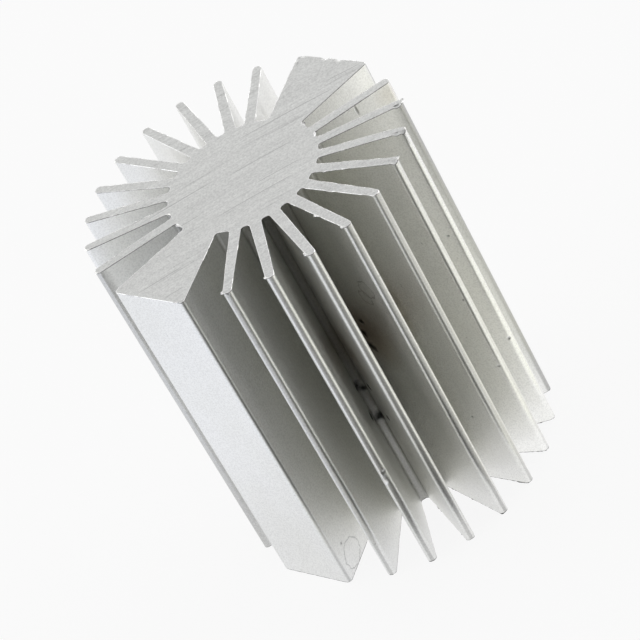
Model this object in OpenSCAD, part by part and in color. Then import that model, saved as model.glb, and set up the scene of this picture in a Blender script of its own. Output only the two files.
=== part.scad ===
// Round extruded heat sink: a solid core with two flat-faced lobes and a fan of radial fins on each side.
// The section lies in XY with a lobe on each side along X, and the length runs up +Z from the sawn lower end.

/* [Overall] */
// Diameter over the tips of the fins
tip_d = 50; // [44:0.5:70]
// Length sawn from the extruded bar
length = 59.5; // [20:0.5:150]

/* [Core] */
// Diameter of the solid core, on which every slot has its floor
core_d = 23.4; // [20:0.2:30]
// Radius in the two corners at the floor of each slot
slot_r = 0.5; // [0.2:0.05:0.6]

/* [Fins] */
// Number of fins between the lobes, on each side
fins_per_side = 9; // [5:1:10]
// Thickness of a fin where it leaves the core
fin_root_t = 1.8; // [1.2:0.1:2]
// Thickness of a fin at its tip
fin_tip_t = 1.4; // [1:0.1:1.8]
// Radius on the two long edges of a fin's tip
fin_tip_r = 0.5; // [0.1:0.05:0.6]

/* [Lobes] */
// Distance across the flat outer faces of the two lobes
lobe_across = 49.4; // [42:0.2:70]
// Angle between the two sides of a lobe, which lie on radii of the section
lobe_angle = 30; // [20:1:40]
// Radius on the two long outer edges of a lobe
lobe_edge_r = 0.6; // [0.2:0.1:2]

/* [Hidden] */
$fn = 96;

core_r = core_d / 2;
tip_reach = tip_d / 2;
lobe_reach = lobe_across / 2;
lobe_spread = tan(lobe_angle / 2);

// The fins share out the angle between the lobes evenly
fin_pitch = (180 - lobe_angle) / (fins_per_side + 1);

// Width of a slot at its floor, and the share of it or of a tip that one rounded corner may take
slot_floor_w = core_r * fin_pitch * PI / 180 - fin_root_t;
corner_share = 0.45;
floor_r = min(slot_r, slot_floor_w * corner_share);
tip_r = min(fin_tip_r, fin_tip_t * corner_share);

// How far the arc of a rounded corner runs into the faces that it joins, so that they cross cleanly
bite = 0.002;

// A rib runs out along +X, and its upper side is the line y = side_y(x), of slope m.
function slope(root_half, tip_half, reach) = (tip_half - root_half) / (reach - core_r);
function side_y(x, root_half, m) = root_half + m * (x - core_r);

// Length of the side's direction [1, m]
function stretch(m) = sqrt(1 + m * m);

// Step of a distance d square to the upper side, away from the rib
function off_side(d, m) = [-m, 1] * d / stretch(m);

// Centre of the arc at the floor of the slot, outside the rib and resting on its side and on the core
function floor_centre(root_half, m) =
    let (gap = floor_r - bite)
    let (y0 = side_y(0, root_half, m) + gap * stretch(m))
    let (x = (sqrt((stretch(m) * (core_r + gap)) ^ 2 - y0 ^ 2) - m * y0) / stretch(m) ^ 2)
    [x, y0 + m * x];

// Centre of the arc on the outer corner, inside the rib and touching its side and its end
function corner_centre(root_half, m, reach, r) =
    let (gap = r - bite)
    [reach - gap, side_y(reach - gap, root_half, m) - gap * stretch(m)];

function flip_y(points) = [for (i = [len(points) - 1:-1:0]) [points[i][0], -points[i][1]]];

// Fillet between the upper side of a rib, or the lower one, and the floor of the slot
module floor_fillet(root_half, m, upper) {
    c = floor_centre(root_half, m);
    on_side = c - off_side(floor_r, m);
    on_core = c * (1 - floor_r / norm(c));
    outline = [on_core, [core_r / 2, 0], [on_side[0], 0], on_side, c];
    difference() {
        polygon(upper ? outline : flip_y(outline));
        translate([c[0], upper ? c[1] : -c[1]]) circle(floor_r);
    }
}

// One tapered rib from inside the core to its reach, with two rounded outer corners and two fillets
module rib(root_half, tip_half, reach, corner_r) {
    m = slope(root_half, tip_half, reach);
    c = corner_centre(root_half, m, reach, corner_r);
    inner = core_r / 2;
    upper_side = [[reach, c[1]], c + off_side(corner_r - bite, m), [inner, side_y(inner, root_half, m)]];
    polygon(concat(flip_y(upper_side), upper_side));
    for (upper = [true, false]) {
        translate([c[0], upper ? c[1] : -c[1]]) circle(corner_r);
        floor_fillet(root_half, m, upper);
    }
}

module lobe() {
    rib(core_r * lobe_spread, lobe_reach * lobe_spread, lobe_reach, lobe_edge_r);
}

module fin() {
    rib(fin_root_t / 2, fin_tip_t / 2, tip_reach, tip_r);
}

// The extruded section: one lobe and its following fins, and the same again turned half way round
module section() {
    circle(core_r);
    for (turn = [0, 180]) rotate(turn) {
        lobe();
        for (i = [1:fins_per_side]) rotate(lobe_angle / 2 + i * fin_pitch) fin();
    }
}

module heat_sink() {
    color("gainsboro") linear_extrude(length) section();
}

heat_sink();
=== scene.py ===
"""Round extruded heat sink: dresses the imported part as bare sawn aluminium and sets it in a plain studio."""

import math

import bmesh
import bpy
from mathutils import Matrix, Quaternion, Vector, noise


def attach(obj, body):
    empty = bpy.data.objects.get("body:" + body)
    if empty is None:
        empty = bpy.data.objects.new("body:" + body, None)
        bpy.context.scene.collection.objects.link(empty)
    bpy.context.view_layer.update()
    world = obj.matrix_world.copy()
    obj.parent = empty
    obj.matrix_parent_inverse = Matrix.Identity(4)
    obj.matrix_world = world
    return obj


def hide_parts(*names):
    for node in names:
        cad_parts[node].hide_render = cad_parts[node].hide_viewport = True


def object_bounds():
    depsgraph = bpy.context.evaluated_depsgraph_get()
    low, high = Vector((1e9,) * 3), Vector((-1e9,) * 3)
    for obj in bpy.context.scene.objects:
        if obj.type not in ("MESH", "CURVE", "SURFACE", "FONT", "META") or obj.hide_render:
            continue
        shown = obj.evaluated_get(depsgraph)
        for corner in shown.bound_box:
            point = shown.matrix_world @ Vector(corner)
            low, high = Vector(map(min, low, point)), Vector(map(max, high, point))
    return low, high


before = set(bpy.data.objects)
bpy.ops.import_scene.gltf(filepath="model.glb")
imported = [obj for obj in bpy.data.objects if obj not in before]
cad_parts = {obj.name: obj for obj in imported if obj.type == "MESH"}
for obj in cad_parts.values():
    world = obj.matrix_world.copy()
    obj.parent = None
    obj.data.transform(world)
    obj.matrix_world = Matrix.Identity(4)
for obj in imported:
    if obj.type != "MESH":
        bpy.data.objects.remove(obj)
cad_low, cad_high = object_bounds()

# The bar is one length of extruded aluminium: a solid core, two flat-faced lobes and nine fins on each side.
# It is bare metal as it left the die, and it was cut off at both ends with a large circular saw.
# The ends were never deburred, so a thin torn lip and beads of metal hang on their edges.
mm = 0.001
upper_cut = cad_high.z - 0.2 * mm
lower_cut = cad_low.z + 0.1 * mm
edge_break = 0.1 * mm
edge_strip = 0.4 * mm
edge_step = 0.3 * mm
skin, cut, rim = range(3)

bar = bmesh.new()
bar.from_mesh(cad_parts["heat_sink"].data)
bmesh.ops.remove_doubles(bar, verts=bar.verts, dist=0.001 * mm)
bmesh.ops.dissolve_limit(bar, angle_limit=math.radians(1), verts=bar.verts, edges=bar.edges)

# Handling has worn the long edges of the fins' tips rounder than the die left them
fin_pitch = math.radians(15)
die_round = 0.5 * mm
worn_round = 0.66 * mm
half_tip = 0.7075 * mm
for vert in bar.verts:
    if abs(vert.co.x) > 23 * mm or vert.co.xy.length < 24.4 * mm:
        continue
    turn = Matrix.Rotation(round(math.atan2(vert.co.y, vert.co.x) / fin_pitch) * fin_pitch, 3, "Z")
    on_fin = turn.inverted() @ vert.co
    side = math.copysign(1, on_fin.y)
    lean = min(1, max(0, (abs(on_fin.y) - half_tip + die_round) / die_round))
    on_fin.x = cad_high.y - worn_round * (1 - math.sqrt(1 - lean * lean))
    on_fin.y = side * (half_tip - worn_round * (1 - lean))
    vert.co = turn @ on_fin

# Only the narrow facets of rounded corners shade into each other: flat faces keep their sharp borders
for edge in bar.edges:
    edge.smooth = max(face.calc_area() for face in edge.link_faces) < 20 * mm * mm
for face in bar.faces:
    face.smooth = True
    face.material_index = cut if abs(face.normal.z) > 0.9 else skin

# Both cuts lie a little inside the length, so that the burrs have room to stand up
for vert in bar.verts:
    vert.co.z = upper_cut if vert.co.z > cad_high.z / 2 else lower_cut


def slice_level(faces, level):
    edges = {edge for face in faces for edge in face.edges}
    verts = {vert for face in faces for vert in face.verts}
    level_cut = {"plane_co": (0, 0, level), "plane_no": (0, 0, 1)}
    bmesh.ops.bisect_plane(bar, geom=[*faces, *edges, *verts], dist=0.001 * mm, **level_cut)


slice_level(bar.faces[:], upper_cut - edge_strip)
slice_level(bar.faces[:], lower_cut + edge_strip)
long_edges = [edge for edge in bar.edges if edge.calc_length() > 50 * mm]
bmesh.ops.subdivide_edges(bar, edges=long_edges, cuts=19, use_grid_fill=True)


def near_cut(vert):
    return min(upper_cut - vert.co.z, vert.co.z - lower_cut) < edge_strip + 0.01 * mm


def is_level(edge):
    return abs(edge.verts[0].co.z - edge.verts[1].co.z) < 0.01 * mm


# The straight edges round both cuts are divided finely, for the ragged line that the saw leaves
by_cuts = {}
for edge in bar.edges:
    cuts = round(edge.calc_length() / edge_step) - 1
    if cuts > 0 and is_level(edge) and near_cut(edge.verts[0]):
        by_cuts.setdefault(cuts, []).append(edge)
for cuts in sorted(by_cuts):
    bmesh.ops.subdivide_edges(bar, edges=by_cuts[cuts], cuts=cuts, use_only_quads=True)


def kinds(faces):
    return {face.material_index for face in faces}


broken = bmesh.ops.bevel(
    bar,
    geom=[edge for edge in bar.edges if kinds(edge.link_faces) == {skin, cut}],
    offset=edge_break,
    offset_type="OFFSET",
    affect="EDGES",
    segments=2,
    profile=0.5,
    clamp_overlap=False,
    material=-1,
)
for face in broken["faces"]:
    face.material_index = rim
for edge in bar.edges:
    if rim in kinds(edge.link_faces):
        edge.smooth = kinds(edge.link_faces) == {rim}

# A narrow border keeps the rest of each cut flat where its edge is torn
cuts = [face for face in bar.faces if face.material_index == cut]
bmesh.ops.inset_region(bar, faces=cuts, thickness=edge_strip, use_even_offset=True)

# Beads of torn metal on the edge of the upper cut: x, y and size in mm
beads = (
    (-5.45, -17.80, 0.48), (-21.85, -11.94, 0.32), (-18.06, -17.29, 0.40), (-12.65, -20.76, 0.35),
    (-7.16, -23.46, 0.42), (-0.60, -25.00, 0.30), (6.07, -24.46, 0.35), (6.63, -24.10, 0.38),
    (17.47, -17.62, 0.40), (-1.01, 24.65, 0.32), (-1.31, 22.19, 0.35), (-10.95, 17.06, 0.32),
    (-10.00, 15.59, 0.32), (-7.83, 12.08, 0.30), (-17.69, 16.87, 0.40), (-18.87, 15.96, 0.40),
    (-21.85, 11.88, 0.32), (10.80, -19.56, 0.36), (7.53, -14.09, 0.36), (11.47, 5.71, 0.30),
    (3.79, -16.61, 0.32), (-24.57, -6.12, 0.32), (11.15, -3.87, 0.42), (9.41, -7.12, 0.40),
    (-8.98, 7.64, 0.40), (-10.97, 4.36, 0.45),
)

# Bites that broke out of that edge: x, y and depth in mm
bites = (
    (-0.80, -16.70, 0.20), (6.00, -23.97, 0.30), (2.34, -13.38, 0.20), (2.48, -14.39, 0.20),
    (11.27, -20.87, 0.30), (11.80, -21.78, 0.35), (16.61, -17.37, 0.25), (10.69, 7.68, 0.20),
    (23.90, 6.20, 0.15), (24.60, 5.90, 0.15), (24.70, 1.50, 0.30), (24.60, -1.10, 0.30),
)
lump_reach = 0.6 * mm


def lumps(vert, places):
    grown = 0
    for x, y, size in places:
        away = (vert.co.xy - Vector((x, y)) * mm).length / lump_reach
        grown = max(grown, size * mm * max(0, 1 - away * away))
    return grown


# The teeth came out on this side, and left the torn lip there: where they went in, the edge is sharp
saw_exit = Vector((math.cos(math.radians(200)), math.sin(math.radians(200)), 0))
sharp = set()
saw_entry = Vector((math.cos(math.radians(292)), math.sin(math.radians(292)), 0))
saw_front = Vector((math.cos(math.radians(233)), math.sin(math.radians(233)), 0))
lip_reach = 0.16 * mm
corner = edge_break * (1 - math.sqrt(0.5))
for vert in bar.verts:
    if kinds(vert.link_faces) != {rim}:
        continue
    out = Vector()
    for edge in vert.link_edges:
        side = edge.other_vert(vert)
        if cut in kinds(side.link_faces):
            out -= side.co
        if skin in kinds(side.link_faces):
            out += side.co
    out.z = 0
    out.normalize()
    leaving = min(1, max(0, (out.dot(saw_exit) - 0.2) / 0.6))
    ragged = noise.noise(vert.co * 500) + 0.8 * noise.noise(vert.co * 2500)
    torn = leaving * min(1, max(0, 0.4 + 3 * ragged))
    keen = min(1, max(0, (0.95 - out.dot(saw_front)) / 0.1)) * min(1, max(0, 0.5 - 2 * ragged))
    if out.dot(saw_entry) > 0.9:
        keen = min(1, max(0, 1.1 - 2 * ragged))
    if vert.co.xy.length < 12.6 * mm and vert.co.x < 9.5 * mm:
        keen = 1
    if keen * (1 - torn) > 0.6:
        sharp.add(vert)
    lip = torn * lip_reach * max(0, ragged) + (1 - torn) * corner * keen
    away = Vector((0, 0, 1))
    if vert.co.z > cad_high.z / 2:
        lip += lumps(vert, beads)
    else:
        away.negate()
    vert.co += out * lip + away * lip * (1 - 0.4 * torn)
for edge in bar.edges:
    if edge.verts[0] in sharp and edge.verts[1] in sharp:
        edge.smooth = False
for vert in bar.verts:
    if vert.co.z > upper_cut - 2 * edge_break:
        vert.co.z -= lumps(vert, bites)

# Something knocked the tip of one front fin twice: the tip is divided there and pressed in
knocked_tip = Vector((-17.68, -17.68, 0)) * mm
for step in range(22):
    near = [face for face in bar.faces if (face.calc_center_median() - knocked_tip).xy.length < 0.8 * mm]
    slice_level(near, (16.4 + 0.2 * step) * mm)
knocks = (
    ((-17.50, -17.85, 19.33), 0.16, 0.7),
    ((-17.95, -17.40, 17.52), 0.14, 0.6),
    ((-17.70, -17.70, 18.40), -0.06, 0.5),
)
for place, depth, reach in knocks:
    for vert in bar.verts:
        away = (vert.co - Vector(place) * mm).length / (reach * mm)
        if away < 1:
            vert.co -= knocked_tip.normalized() * depth * mm * (1 - away * away) ** 2

for vert in bar.verts:
    for axis in range(3):
        vert.co[axis] = min(cad_high[axis], max(cad_low[axis], vert.co[axis]))

bar_mesh = bpy.data.meshes.new("finned_bar")
bar.normal_update()
bar.to_mesh(bar_mesh)
bar.free()
finned_bar = bpy.data.objects.new("finned_bar", bar_mesh)
bpy.context.scene.collection.objects.link(finned_bar)


def node(tree, kind, inputs, **settings):
    """Adds one node, whose inputs are plain values or the outputs of other nodes"""
    made = tree.nodes.new("ShaderNode" + kind)
    for name, value in settings.items():
        setattr(made, name, value)
    for name, value in inputs.items():
        if isinstance(value, bpy.types.NodeSocket):
            tree.links.new(value, made.inputs[name])
        else:
            made.inputs[name].default_value = value
    return made


def sums(tree, operation, *values):
    """Sum, product, maximum or difference of several values"""
    total = values[0]
    for value in values[1:]:
        total = node(tree, "Math", {0: total, 1: value}, operation=operation).outputs[0]
    return total


def ranged(tree, value, low, high, at_low, at_high):
    """Turns one range of a value into another, and holds it at both ends"""
    ends = {"From Min": low, "From Max": high, "To Min": at_low, "To Max": at_high}
    return node(tree, "MapRange", {"Value": value, **ends}).outputs[0]


def grain(tree, coords, per_metre, detail):
    """Noise with its own number of ups and downs to the metre along each axis"""
    drawn = node(tree, "Mapping", {"Vector": coords, "Scale": per_metre})
    return node(tree, "TexNoise", {"Vector": drawn.outputs[0], "Scale": 1, "Detail": detail}).outputs[0]


def wavering(tree, coords, per_metre, reach):
    """Coordinates that waver by up to a reach, for marks with an uneven outline"""
    swirl = node(tree, "TexNoise", {"Vector": coords, "Scale": per_metre, "Detail": 3}).outputs["Color"]
    centred = node(tree, "VectorMath", {0: swirl, 1: (0.5, 0.5, 0.5)}, operation="SUBTRACT").outputs[0]
    scaled = node(tree, "VectorMath", {0: centred, "Scale": 4 * reach * mm}, operation="SCALE").outputs[0]
    return node(tree, "VectorMath", {0: coords, 1: scaled}, operation="ADD").outputs[0]


def distance(tree, coords, place):
    apart = node(tree, "VectorMath", {0: coords, 1: Vector(place) * mm}, operation="DISTANCE")
    return apart.outputs["Value"]


def spot(tree, coords, place, reach):
    """A soft round mark: 1 in its middle and 0 from its reach outwards"""
    return ranged(tree, distance(tree, coords, place), 0.3 * reach * mm, reach * mm, 1, 0)


def outlined(tree, coords, place, reach):
    """The thin outline that a drop leaves when it dries"""
    off = sums(tree, "SUBTRACT", distance(tree, coords, place), reach * mm)
    off = node(tree, "Math", {0: off}, operation="ABSOLUTE").outputs[0]
    return ranged(tree, off, 0.05 * mm, 0.16 * mm, 1, 0)


def tinted(tree, factor, first, second):
    mix = node(tree, "Mix", {0: factor, 6: first, 7: second}, data_type="RGBA")
    return mix.outputs[2]


def shaded(tree, colour, value):
    mix = node(tree, "Mix", {0: 1, 6: colour, 7: value}, data_type="RGBA", blend_type="MULTIPLY")
    return mix.outputs[2]


def raised(tree, *heights):
    """A bump of summed heights in thousandths of a millimetre"""
    height = sums(tree, "ADD", *heights)
    bump = node(tree, "Bump", {"Height": height, "Distance": 0.001 * mm, "Strength": 1})
    return bump.outputs[0]


def metal(name):
    """A new material of bare metal, with its node tree and its Object coordinates"""
    finish = bpy.data.materials.new(name)
    finish.use_nodes = True
    finish.node_tree.nodes["Principled BSDF"].inputs["Metallic"].default_value = 1
    return finish, finish.node_tree, node(finish.node_tree, "TexCoord", {}).outputs["Object"]


def finished(tree, **sockets):
    """Links values to the shader's sockets, whose names are given with _ for each space"""
    shader = tree.nodes["Principled BSDF"]
    for name, value in sockets.items():
        tree.links.new(value, shader.inputs[name.replace("_", " ")])


# Skin from the die: satin metal with faint lines along its length, rougher tips and a few stains in the slots.
# Painted shade darkens the slot floors, the slots that face the front, the tips that face the front or back, two
# fins that point across the front, and the long edges of the lobes
bright_metal = (1, 1, 0.985, 1)
dull_metal = (0.975, 0.975, 0.95, 1)
# Colour of the painted shade in the slots that face the front
slot_shade_colour = (0.96, 0.96, 0.92, 1)
brown_haze = (0.74, 0.69, 0.62, 1)
extruded, tree, coords = metal("extruded_aluminium")
die_lines = grain(tree, coords, (2400, 2400, 9), 2)
bands = grain(tree, coords, (420, 420, 6), 2)
satin = grain(tree, coords, (4800, 4800, 4800), 1)
speckle = grain(tree, coords, (4200, 4200, 4200), 1)
bloom = grain(tree, coords, (120, 120, 70), 4)
pits = grain(tree, coords, (900, 900, 900), 2)

place = node(tree, "SeparateXYZ", {0: coords}).outputs
flat = node(tree, "CombineXYZ", {0: place[0], 1: place[1]}).outputs[0]
radius = node(tree, "VectorMath", {0: flat}, operation="LENGTH").outputs["Value"]
sideways = node(tree, "Math", {0: place[0]}, operation="ABSOLUTE").outputs[0]
on_tip = ranged(tree, radius, 24.94 * mm, 24.985 * mm, 0, 1)
on_fin = ranged(tree, sideways, 22.9 * mm, 23.1 * mm, 1, 0)
camera_side = Vector((math.cos(math.radians(233.26)), math.sin(math.radians(233.26)), 0))
ahead = node(tree, "VectorMath", {0: coords, 1: camera_side}, operation="DOT_PRODUCT").outputs["Value"]
facing = node(tree, "Math", {0: ahead}, operation="ABSOLUTE").outputs[0]
# Tips that face the front or the back are rougher, and darker in colour: the darkening is painted shade
dull_tip_with_painted_shade = sums(
    tree,
    "MULTIPLY",
    on_tip,
    on_fin,
    ranged(tree, bands, 0.3, 0.7, 0.75, 1),
    ranged(tree, facing, 12 * mm, 22 * mm, 0.1, 1),
)
polished = sums(
    tree,
    "MULTIPLY",
    ranged(tree, radius, 24.3 * mm, 24.6 * mm, 0, 1),
    on_fin,
    ranged(tree, facing, 14 * mm, 22 * mm, 1, 0.3),
)

# Dark stains deep in two slots, with a brown haze round some of them: places and reaches in mm
uneven = wavering(tree, coords, 900, 0.35)
stains = (
    ((-7.86, -9.14, 25.41), 1.1), ((-7.06, -9.33, 24.61), 0.9), ((-7.81, -11.80, 25.89), 0.9),
    ((-8.69, -9.93, 20.25), 1.1), ((-6.86, -9.51, 18.42), 1.2), ((-8.47, -12.99, 20.23), 0.9),
    ((-4.21, -12.33, 33.57), 1.0), ((-4.27, -12.55, 30.97), 1.2), ((-4.60, -13.60, 36.50), 0.8),
)
stain = sums(tree, "MAXIMUM", *[spot(tree, uneven, *mark) for mark in stains])
haze = sums(tree, "MAXIMUM", *[
    spot(tree, uneven, (-4.8, -13.4, 33.0), 7),
    sums(tree, "MULTIPLY", spot(tree, uneven, (20.5, -12.6, 57.5), 2.6), 0.4),
])

# Outlines of dried drops, on the lower end of a lobe and on a front fin
drops = (((-20.96, -5.62, 2.60), 2.4), ((-6.17, -20.10, 45.67), 1.6), ((-6.00, -18.80, 43.60), 1.3))
drop = sums(tree, "MAXIMUM", *[outlined(tree, uneven, *mark) for mark in drops])
nicks = (
    ((5.63, -23.75, 18.60), 0.35), ((11.65, -21.59, 17.90), 0.35), ((-0.76, -20.67, 13.93), 0.30),
    ((11.11, -20.69, 39.40), 0.30), ((5.59, -23.62, 32.37), 0.30), ((-21.57, -12.65, 59.14), 0.25),
    ((-22.00, -5.90, 6.00), 0.30),
)
slim = node(tree, "Mapping", {"Vector": coords, "Scale": (1, 1, 0.2)}).outputs[0]
scratch = spot(tree, slim, (15.83, -10.05, 11.68), 0.25)
nick = sums(tree, "MAXIMUM", scratch, *[spot(tree, coords, *mark) for mark in nicks])
pit = ranged(tree, pits, 0.75, 0.79, 0, 1)

# Painted shade along the outer border of the two fins that point across the front, darker still at the very edge
# of the one on the +x side, and along the long edges of the lobes
off_border = node(tree, "Math", {0: sums(tree, "SUBTRACT", ahead, 3.2 * mm)}, operation="ABSOLUTE").outputs[0]
edge_on_fin_shade = ranged(tree, radius, 23.2 * mm, 24.4 * mm, 0, 1)
edge_on_fin_shade = sums(tree, "MULTIPLY", edge_on_fin_shade, ranged(tree, off_border, 2 * mm, 4 * mm, 1, 0))
outer_edge_shade = ranged(tree, radius, 24.3 * mm, 24.6 * mm, 0, 1)
outer_edge_shade = sums(tree, "MULTIPLY", outer_edge_shade, edge_on_fin_shade, ranged(tree, place[0], 5 * mm, 10 * mm, 0, 1))
upright = node(tree, "Math", {0: place[1]}, operation="ABSOLUTE").outputs[0]
# The lobes' rounded long edges get a dark line: painted shade
lobe_edge_shade = ranged(tree, sideways, 24.1 * mm, 24.35 * mm, 0, 1)
lobe_edge_shade = sums(tree, "MULTIPLY", lobe_edge_shade, ranged(tree, upright, 6.1 * mm, 6.3 * mm, 0, 1))

shade = sums(
    tree,
    "MULTIPLY",
    # Slot floors at less than half brightness: painted shade in the depth of the slots
    ranged(tree, radius, 11.75 * mm, 12.4 * mm, 0.45, 1),
    # Painted shade on the two fins that point across the front, and on the very edge of the one on the +x side
    sums(tree, "SUBTRACT", 1, sums(tree, "MULTIPLY", edge_on_fin_shade, ranged(tree, place[0], -5 * mm, 5 * mm, 0.3, 0.12))),
    ranged(tree, outer_edge_shade, 0, 1, 1, 0.6),
    ranged(tree, lobe_edge_shade, 0, 1, 1, 0.68),
    ranged(tree, die_lines, 0.3, 0.7, 0.97, 1),
    ranged(tree, bands, 0.3, 0.7, 0.97, 1),
    ranged(tree, speckle, 0.36, 0.58, 0.88, 1),
    ranged(tree, stain, 0, 1, 1, 0.12),
    ranged(tree, drop, 0, 1, 1, 0.7),
    ranged(tree, nick, 0, 1, 1, 0.5),
    ranged(tree, pit, 0, 1, 1, 0.75),
    ranged(tree, dull_tip_with_painted_shade, 0, 1, 1, 0.72),
)
# The slots that face the front are tinted a little darker and warmer: painted shade
in_slot = ranged(tree, radius, 12 * mm, 21 * mm, 1, 0)
painted_slot_shade = sums(tree, "MULTIPLY", in_slot, ranged(tree, ahead, 5 * mm, 10 * mm, 0, 1))
clean = tinted(tree, ranged(tree, bloom, 0.4, 0.65, 0, 1), bright_metal, dull_metal)
stained_and_shaded = tinted(tree, haze, tinted(tree, painted_slot_shade, clean, slot_shade_colour), brown_haze)
roughness = sums(
    tree,
    "ADD",
    ranged(tree, bands, 0.3, 0.7, 0.31, 0.39),
    ranged(tree, die_lines, 0.3, 0.7, 0, 0.05),
    ranged(tree, polished, 0, 1, 0, -0.09),
    ranged(tree, dull_tip_with_painted_shade, 0, 1, 0, 0.17),
    ranged(tree, stain, 0, 1, 0, 0.15),
)
bumps = raised(
    tree,
    ranged(tree, die_lines, 0, 1, 0, 8),
    ranged(tree, satin, 0, 1, 0, 18),
    ranged(tree, bloom, 0, 1, 0, 60),
    ranged(tree, nick, 0, 1, 0, -60),
)
normal = node(tree, "NewGeometry", {}).outputs["Normal"]
across = node(tree, "VectorMath", {0: normal, 1: (0, 0, 1)}, operation="CROSS_PRODUCT").outputs[0]
tree.nodes["Principled BSDF"].inputs["Anisotropic"].default_value = 0.68
finished(tree, Base_Color=shaded(tree, stained_and_shaded, shade), Roughness=roughness, Normal=bumps, Tangent=across)

# Sawn ends: the teeth ran along one slightly curved way, and left fine strokes and some long hairlines
sawn_metal = (0.96, 0.965, 0.95, 1)
blade_radius = 300 * mm
sawn, tree, coords = metal("sawn_aluminium")
turned = node(tree, "Mapping", {"Vector": coords, "Rotation": (0, 0, math.radians(37))}).outputs[0]
way = node(tree, "SeparateXYZ", {0: turned}).outputs
along = way[0]
bend = sums(tree, "MULTIPLY", along, along, 0.5 / blade_radius)
over = sums(tree, "ADD", way[1], bend)
path = node(tree, "CombineXYZ", {0: along, 1: over, 2: way[2]}).outputs[0]
strokes = grain(tree, path, (60, 3000, 20), 3)
bands = grain(tree, path, (14, 420, 20), 2)
grit = grain(tree, coords, (3400, 3400, 3400), 3)
scores = grain(tree, path, (80, 1500, 30), 2)

# Hairlines on the upper cut: how far over, and from where to where along the strokes, in mm
hairlines = (
    (8.5, 0.9, 18.2), (11.0, 17.0, 22.6), (2.4, -14.5, -4.0), (1.6, -2.0, 9.0), (3.3, -18.0, -9.8),
    (-3.3, -11.4, -7.9), (-3.4, 0.9, 8.6), (-5.9, -6.8, 7.0), (-12.0, -20.6, -13.3), (-16.3, -17.9, -14.5),
)
lines = []
for aside, begin, end in hairlines:
    off_line = node(tree, "Math", {0: sums(tree, "SUBTRACT", over, aside * mm)}, operation="ABSOLUTE").outputs[0]
    middle = (begin + end) / 2 * mm
    off_middle = node(tree, "Math", {0: sums(tree, "SUBTRACT", along, middle)}, operation="ABSOLUTE").outputs[0]
    half = (end - begin) / 2 * mm
    thin = ranged(tree, off_line, 0.02 * mm, 0.08 * mm, 1, 0)
    lines.append(sums(tree, "MULTIPLY", thin, ranged(tree, off_middle, 0.7 * half, half, 1, 0)))
hairline = sums(tree, "MULTIPLY", sums(tree, "MAXIMUM", *lines), ranged(tree, grit, 0.3, 0.6, 0.5, 1))
score = ranged(tree, scores, 0.62, 0.74, 0, 1)
shade = sums(
    tree,
    "MULTIPLY",
    ranged(tree, strokes, 0.3, 0.7, 0.88, 1),
    ranged(tree, bands, 0.3, 0.7, 0.965, 1),
    ranged(tree, grit, 0.3, 0.7, 0.79, 1),
    ranged(tree, hairline, 0, 1, 1, 0.55),
    ranged(tree, score, 0, 1, 1, 0.84),
)
roughness = sums(
    tree,
    "ADD",
    ranged(tree, strokes, 0.3, 0.7, 0.42, 0.54),
    ranged(tree, hairline, 0, 1, 0, 0.1),
)
bumps = raised(
    tree,
    ranged(tree, strokes, 0, 1, 0, 8),
    ranged(tree, grit, 0, 1, 0, 6),
    ranged(tree, hairline, 0, 1, 0, -12),
    ranged(tree, score, 0, 1, 0, -5),
)
finished(tree, Base_Color=shaded(tree, sawn_metal, shade), Roughness=roughness, Normal=bumps)

# Torn edges: smeared metal, with painted shade that darkens them at the lower cut, where the bar stands on the
# table, and where they face the front
fresh_metal = (1, 1, 1, 1)
torn, tree, coords = metal("torn_aluminium")
smear = grain(tree, coords, (1800, 1800, 3000), 3)
level = node(tree, "SeparateXYZ", {0: coords}).outputs[2]
colour = tinted(tree, ranged(tree, smear, 0.35, 0.65, 0, 1), dull_metal, fresh_metal)
bare_normal = node(tree, "NewGeometry", {}).outputs["Normal"]
facing = node(tree, "VectorMath", {0: bare_normal, 1: camera_side}, operation="DOT_PRODUCT").outputs["Value"]
# Painted shade: darker near the lower cut and where the edge faces the front
painted_torn_shade = sums(
    tree,
    "MULTIPLY",
    ranged(tree, level, 1 * mm, 2 * mm, 0.3, 1),
    ranged(tree, facing, 0.5, 0.68, 1, 0.3),
)
roughness = ranged(tree, smear, 0.3, 0.7, 0.36, 0.18)
bumps = raised(tree, ranged(tree, smear, 0, 1, 0, 30))
finished(tree, Base_Color=shaded(tree, colour, painted_torn_shade), Roughness=roughness, Normal=bumps)

for finish in (extruded, sawn, torn):
    bar_mesh.materials.append(finish)
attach(finned_bar, "root")
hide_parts("heat_sink")

# The floor is a plain white table top, on which the bar stands and throws a soft shadow.
# The camera sees it nearly white, and so does the metal, except close to the bar on the -x side, where it glows
# less for the metal, and at the far -x side, where it glows a little bluer for all but the camera.
table = bmesh.new()
bmesh.ops.create_grid(table, x_segments=1, y_segments=1, size=1.5)


def staged(name, shape):
    """Makes a shape into an object of its own, which isn't part of the bar"""
    mesh = bpy.data.meshes.new(name)
    shape.to_mesh(mesh)
    shape.free()
    made = bpy.data.objects.new(name, mesh)
    bpy.context.scene.collection.objects.link(made)
    return made


def glowing(name):
    """A new material with an empty node tree"""
    finish = bpy.data.materials.new(name)
    finish.use_nodes = True
    finish.node_tree.nodes.clear()
    return finish, finish.node_tree


white_table, tree = glowing("white_table")
ray = node(tree, "LightPath", {}).outputs
reflected = sums(tree, "MAXIMUM", ray["Is Glossy Ray"], ray["Is Transmission Ray"])
coords = node(tree, "TexCoord", {}).outputs["Object"]
across_table = node(tree, "SeparateXYZ", {0: coords}).outputs[0]
from_bar = node(tree, "VectorMath", {0: coords}, operation="LENGTH").outputs["Value"]
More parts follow.
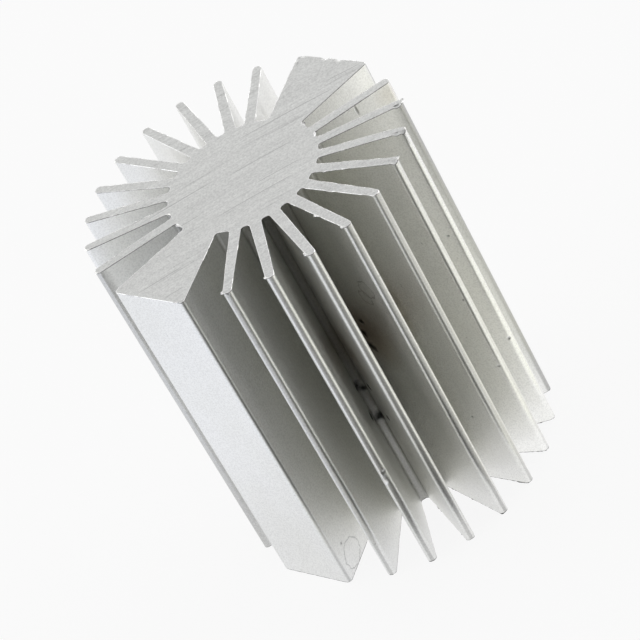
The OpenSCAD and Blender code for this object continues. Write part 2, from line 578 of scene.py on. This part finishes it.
# Close to the bar on the -x side the metal sees less glow and more of the lit table: painted shadow, seen only in
# reflections
close_by = ranged(tree, across_table, -3 * mm, 3 * mm, 0.74, 1)
whole = ranged(tree, from_bar, 34 * mm, 60 * mm, close_by, 1)
seen_by_metal = sums(tree, "MULTIPLY", reflected, whole)
share = sums(tree, "ADD", sums(tree, "MULTIPLY", ray["Is Camera Ray"], 0.9), seen_by_metal)
lit = node(tree, "BsdfDiffuse", {"Color": (0.8, 0.8, 0.8, 1)})
cool = ranged(tree, across_table, -60 * mm, -10 * mm, 1, 0)
plain = sums(tree, "MAXIMUM", ray["Is Camera Ray"], sums(tree, "SUBTRACT", 1, cool))
whiteness = tinted(tree, plain, (0.93, 0.95, 1, 1), (1, 1, 1, 1))
white = node(tree, "Emission", {"Color": whiteness, "Strength": 1})
either = node(tree, "MixShader", {0: share, 1: lit.outputs[0], 2: white.outputs[0]})
node(tree, "OutputMaterial", {"Surface": either.outputs[0]})
staged("table", table).data.materials.append(white_table)

# A card in front and to the right is seen only in the metal: a painted reflection.
# It is nearly black towards the camera, as painted shade in the slots between the fins, and glows white at its
# two ends.
card = bmesh.new()
outline = (
    (34, 199), (500, 210), (500, 270), (500, 298), (90, 298), (90, 340),
    (40, 340), (34, 320), (32.5, 290), (33, 258), (33, 239), (33, 219),
)
corners = []
for reach, azimuth in outline:
    a = math.radians(azimuth)
    corners.append(card.verts.new((reach * mm * math.cos(a), reach * mm * math.sin(a), 0.2 * mm)))
card.faces.new(corners)
painted_reflection_card, tree = glowing("painted_reflection_card")
coords = node(tree, "TexCoord", {}).outputs["Object"]
turned = node(tree, "Mapping", {"Vector": coords, "Rotation": (0, 0, math.radians(127))}).outputs[0]
aside = node(tree, "SeparateXYZ", {0: turned}).outputs
angle = node(tree, "Math", {0: aside[1], 1: aside[0]}, operation="ARCTAN2").outputs[0]
glow = sums(
    tree,
    "ADD",
    ranged(tree, angle, math.radians(-29), math.radians(-13), 1, 0.03),
    ranged(tree, angle, math.radians(15), math.radians(36), 0, 1),
)
dim = node(tree, "Emission", {"Color": (1, 1, 0.93, 1), "Strength": glow})
node(tree, "OutputMaterial", {"Surface": dim.outputs[0]})
reflection_only_card = staged("reflection_only_card", card)
reflection_only_card.data.materials.append(painted_reflection_card)
reflection_only_card.visible_camera = False
reflection_only_card.visible_diffuse = False
reflection_only_card.visible_shadow = False
reflection_only_card.visible_transmission = False


# Three softboxes stand low over the table: two tall ones at the left and right, and a long strip behind.
# None of them is in the picture. Each is given by its place, its size and how bright its cloth is.
def heading(azimuth, elevation):
    a = math.radians(azimuth)
    e = math.radians(elevation)
    return Vector((math.cos(e) * math.cos(a), math.cos(e) * math.sin(a), math.sin(e)))


def softbox(name, azimuth, elevation, wide, high, radiance, colour):
    lamp = bpy.data.lights.new(name, "AREA")
    lamp.shape = "RECTANGLE"
    lamp.size = wide
    lamp.size_y = high
    lamp.energy = radiance * math.pi * wide * high
    lamp.color = colour
    stand = bpy.data.objects.new(name, lamp)
    away = heading(azimuth, elevation)
    facing = away.to_track_quat("Z", "Y").to_matrix().to_4x4()
    stand.matrix_world = Matrix.Translation(away * 0.9) @ facing
    stand.visible_camera = False
    bpy.context.scene.collection.objects.link(stand)


softbox("left_softbox", 140, 26, 1.0, 0.6, 1.0, (0.94, 0.965, 1))
softbox("right_softbox", 338, 24, 1.0, 0.6, 1.0, (1, 1, 0.98))
softbox("back_softbox", 50, 8, 2.4, 0.25, 1.0, (1, 1, 0.99))

# The room is pale behind the bar and dark behind the camera.
# The camera itself sees plain white all round.
room = bpy.data.worlds.new("room")
bpy.context.scene.world = room
room.use_nodes = True
tree = room.node_tree
tree.nodes.clear()
direction = node(tree, "TexCoord", {}).outputs["Generated"]
towards = node(tree, "VectorMath", {0: direction, 1: camera_side}, operation="DOT_PRODUCT").outputs["Value"]
pale = ranged(tree, towards, -0.3, 0.4, 0.71, 0.36)
seen = sums(tree, "MAXIMUM", pale, node(tree, "LightPath", {}).outputs["Is Camera Ray"])
sky = node(tree, "Background", {"Color": (1, 1, 1, 1), "Strength": seen})
node(tree, "OutputWorld", {"Surface": sky.outputs[0]})

# The camera looks down on the bar from the front with a long lens.
# It is rolled to one side, so that the bar leans in the picture.
view_data = bpy.data.cameras.new("camera")
view_data.sensor_width = 36
view_data.lens = 186.25
view_data.clip_start = 10 * mm
camera = bpy.data.objects.new("camera", view_data)
aim = Vector((-0.46, 0.34, 30.16)) * mm
back = heading(233.261, 37.007)
roll = Quaternion((0, 0, 1), math.radians(-29.621))
facing = (back.to_track_quat("Z", "Y") @ roll).to_matrix().to_4x4()
camera.matrix_world = Matrix.Translation(aim + back * 487.07 * mm) @ facing
bpy.context.scene.collection.objects.link(camera)
bpy.context.scene.camera = camera
bpy.context.scene.view_settings.view_transform = "Standard"
bpy.context.scene.cycles.max_bounces = 16
bpy.context.scene.cycles.glossy_bounces = 16
